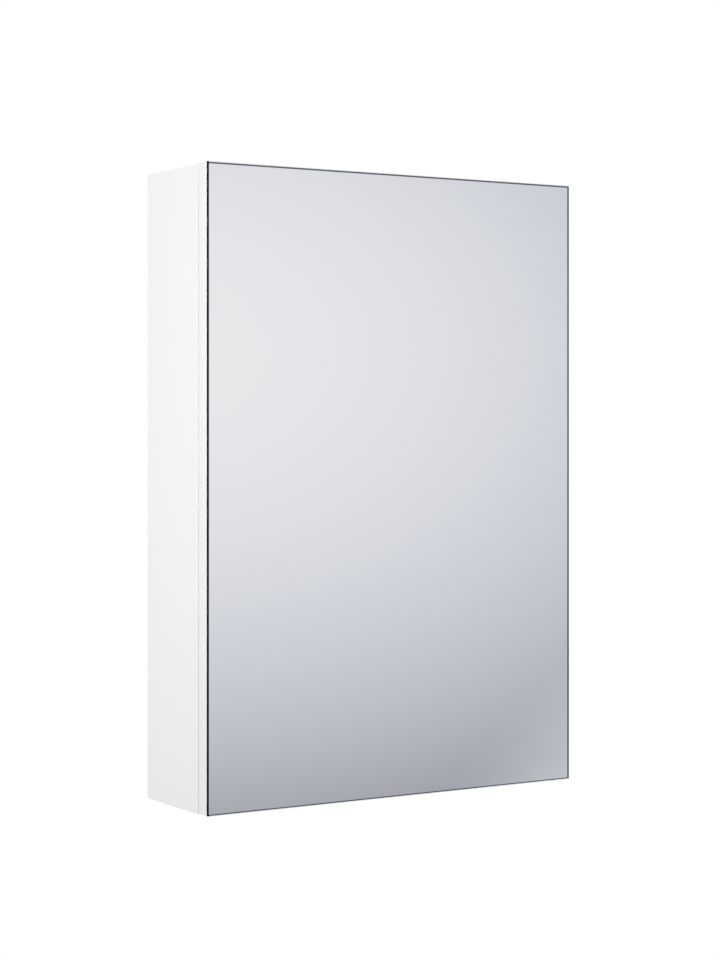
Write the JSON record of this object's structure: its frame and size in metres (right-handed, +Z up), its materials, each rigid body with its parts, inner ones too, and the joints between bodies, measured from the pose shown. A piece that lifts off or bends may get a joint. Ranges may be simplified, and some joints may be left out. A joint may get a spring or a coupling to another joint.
{
  "type": "bathroom mirror cabinet",
  "caption": "Wall-hung white bathroom cabinet whose single door is a frameless mirror on concealed hinges, with adjustable glass shelves inside.",
  "frame": {"origin": "centre of the four wall screw holes, on the wall plane", "axes": "+Y into the wall, +Z up, +X to the right as seen from the front"},
  "size_m": [0.48, 0.147, 0.7012],
  "materials": {
    "white_board": "satin",
    "white_edging": "satin",
    "white_hardboard": "matte",
    "beech": "matte",
    "zinc": "satin",
    "nickel_steel": "gloss",
    "spring_steel": "satin",
    "white_plastic": "satin",
    "clear_plastic": "gloss",
    "shelf_glass": "polished",
    "foam_tape": "matte",
    "mirror": "polished"
  },
  "bodies": {
    "cabinet": {"side_panel_left": "white_board", "side_panel_right": "white_board", "top_panel": "white_board", "bottom_panel": "white_board", "back_panel": "white_hardboard", "upper_hanging_rail": "white_board", "lower_hanging_rail": "white_board", "carcass_edging": "white_edging", "panel_dowels": "beech", "rail_dowels": "beech", "cam_locks": "zinc", "cam_bolts": "zinc", "cam_cover_caps": "white_plastic", "glass_shelf_upper": "shelf_glass", "glass_shelf_lower": "shelf_glass", "shelf_pins_upper": "nickel_steel", "shelf_pins_lower": "nickel_steel", "shelf_pin_pads_upper": "clear_plastic", "shelf_pin_pads_lower": "clear_plastic", "upper_hinge_plate": "zinc", "upper_hinge_plate_screws": "nickel_steel", "upper_hinge_arm": "nickel_steel", "upper_hinge_side_screw": "zinc", "upper_hinge_depth_screw": "zinc", "upper_hinge_arm_pins": "nickel_steel", "upper_hinge_spring": "spring_steel", "lower_hinge_plate": "zinc", "lower_hinge_plate_screws": "nickel_steel", "lower_hinge_arm": "nickel_steel", "lower_hinge_side_screw": "zinc", "lower_hinge_depth_screw": "zinc", "lower_hinge_arm_pins": "nickel_steel", "lower_hinge_spring": "spring_steel"},
    "outer_links": {"upper_hinge_outer_link": "nickel_steel", "lower_hinge_outer_link": "nickel_steel"},
    "inner_links": {"upper_hinge_inner_link": "nickel_steel", "lower_hinge_inner_link": "nickel_steel"},
    "door": {"door_board": "white_board", "door_edging": "white_edging", "mirror_tape": "foam_tape", "mirror_glass": "mirror", "door_bumpers": "clear_plastic", "upper_hinge_cup": "nickel_steel", "upper_hinge_cup_pins": "nickel_steel", "upper_hinge_cup_screws": "nickel_steel", "lower_hinge_cup": "nickel_steel", "lower_hinge_cup_pins": "nickel_steel", "lower_hinge_cup_screws": "nickel_steel"}
  },
  "joints": [
    {"name": "outer_link_pivot", "type": "hinge", "parent": "cabinet", "child": "outer_links", "pos_m": [0.207, -0.108, 0], "axis": [0, 0, 1], "range_deg": [-22, 0]},
    {"name": "door_swing", "type": "hinge", "parent": "outer_links", "child": "door", "pos_m": [0.2312, -0.1263, 0], "axis": [0, 0, 1], "range_deg": [0, 117]},
    {"name": "inner_link_pivot", "type": "hinge", "parent": "cabinet", "child": "inner_links", "pos_m": [0.2112, -0.1185, 0], "axis": [0, 0, 1], "range_deg": [-9.5, 0]}
  ],
  "couplings": [
    {"joint": "outer_link_pivot", "follows": "door_swing", "ratio": -0.1875},
    {"joint": "inner_link_pivot", "follows": "door_swing", "ratio": -0.08}
  ]
}
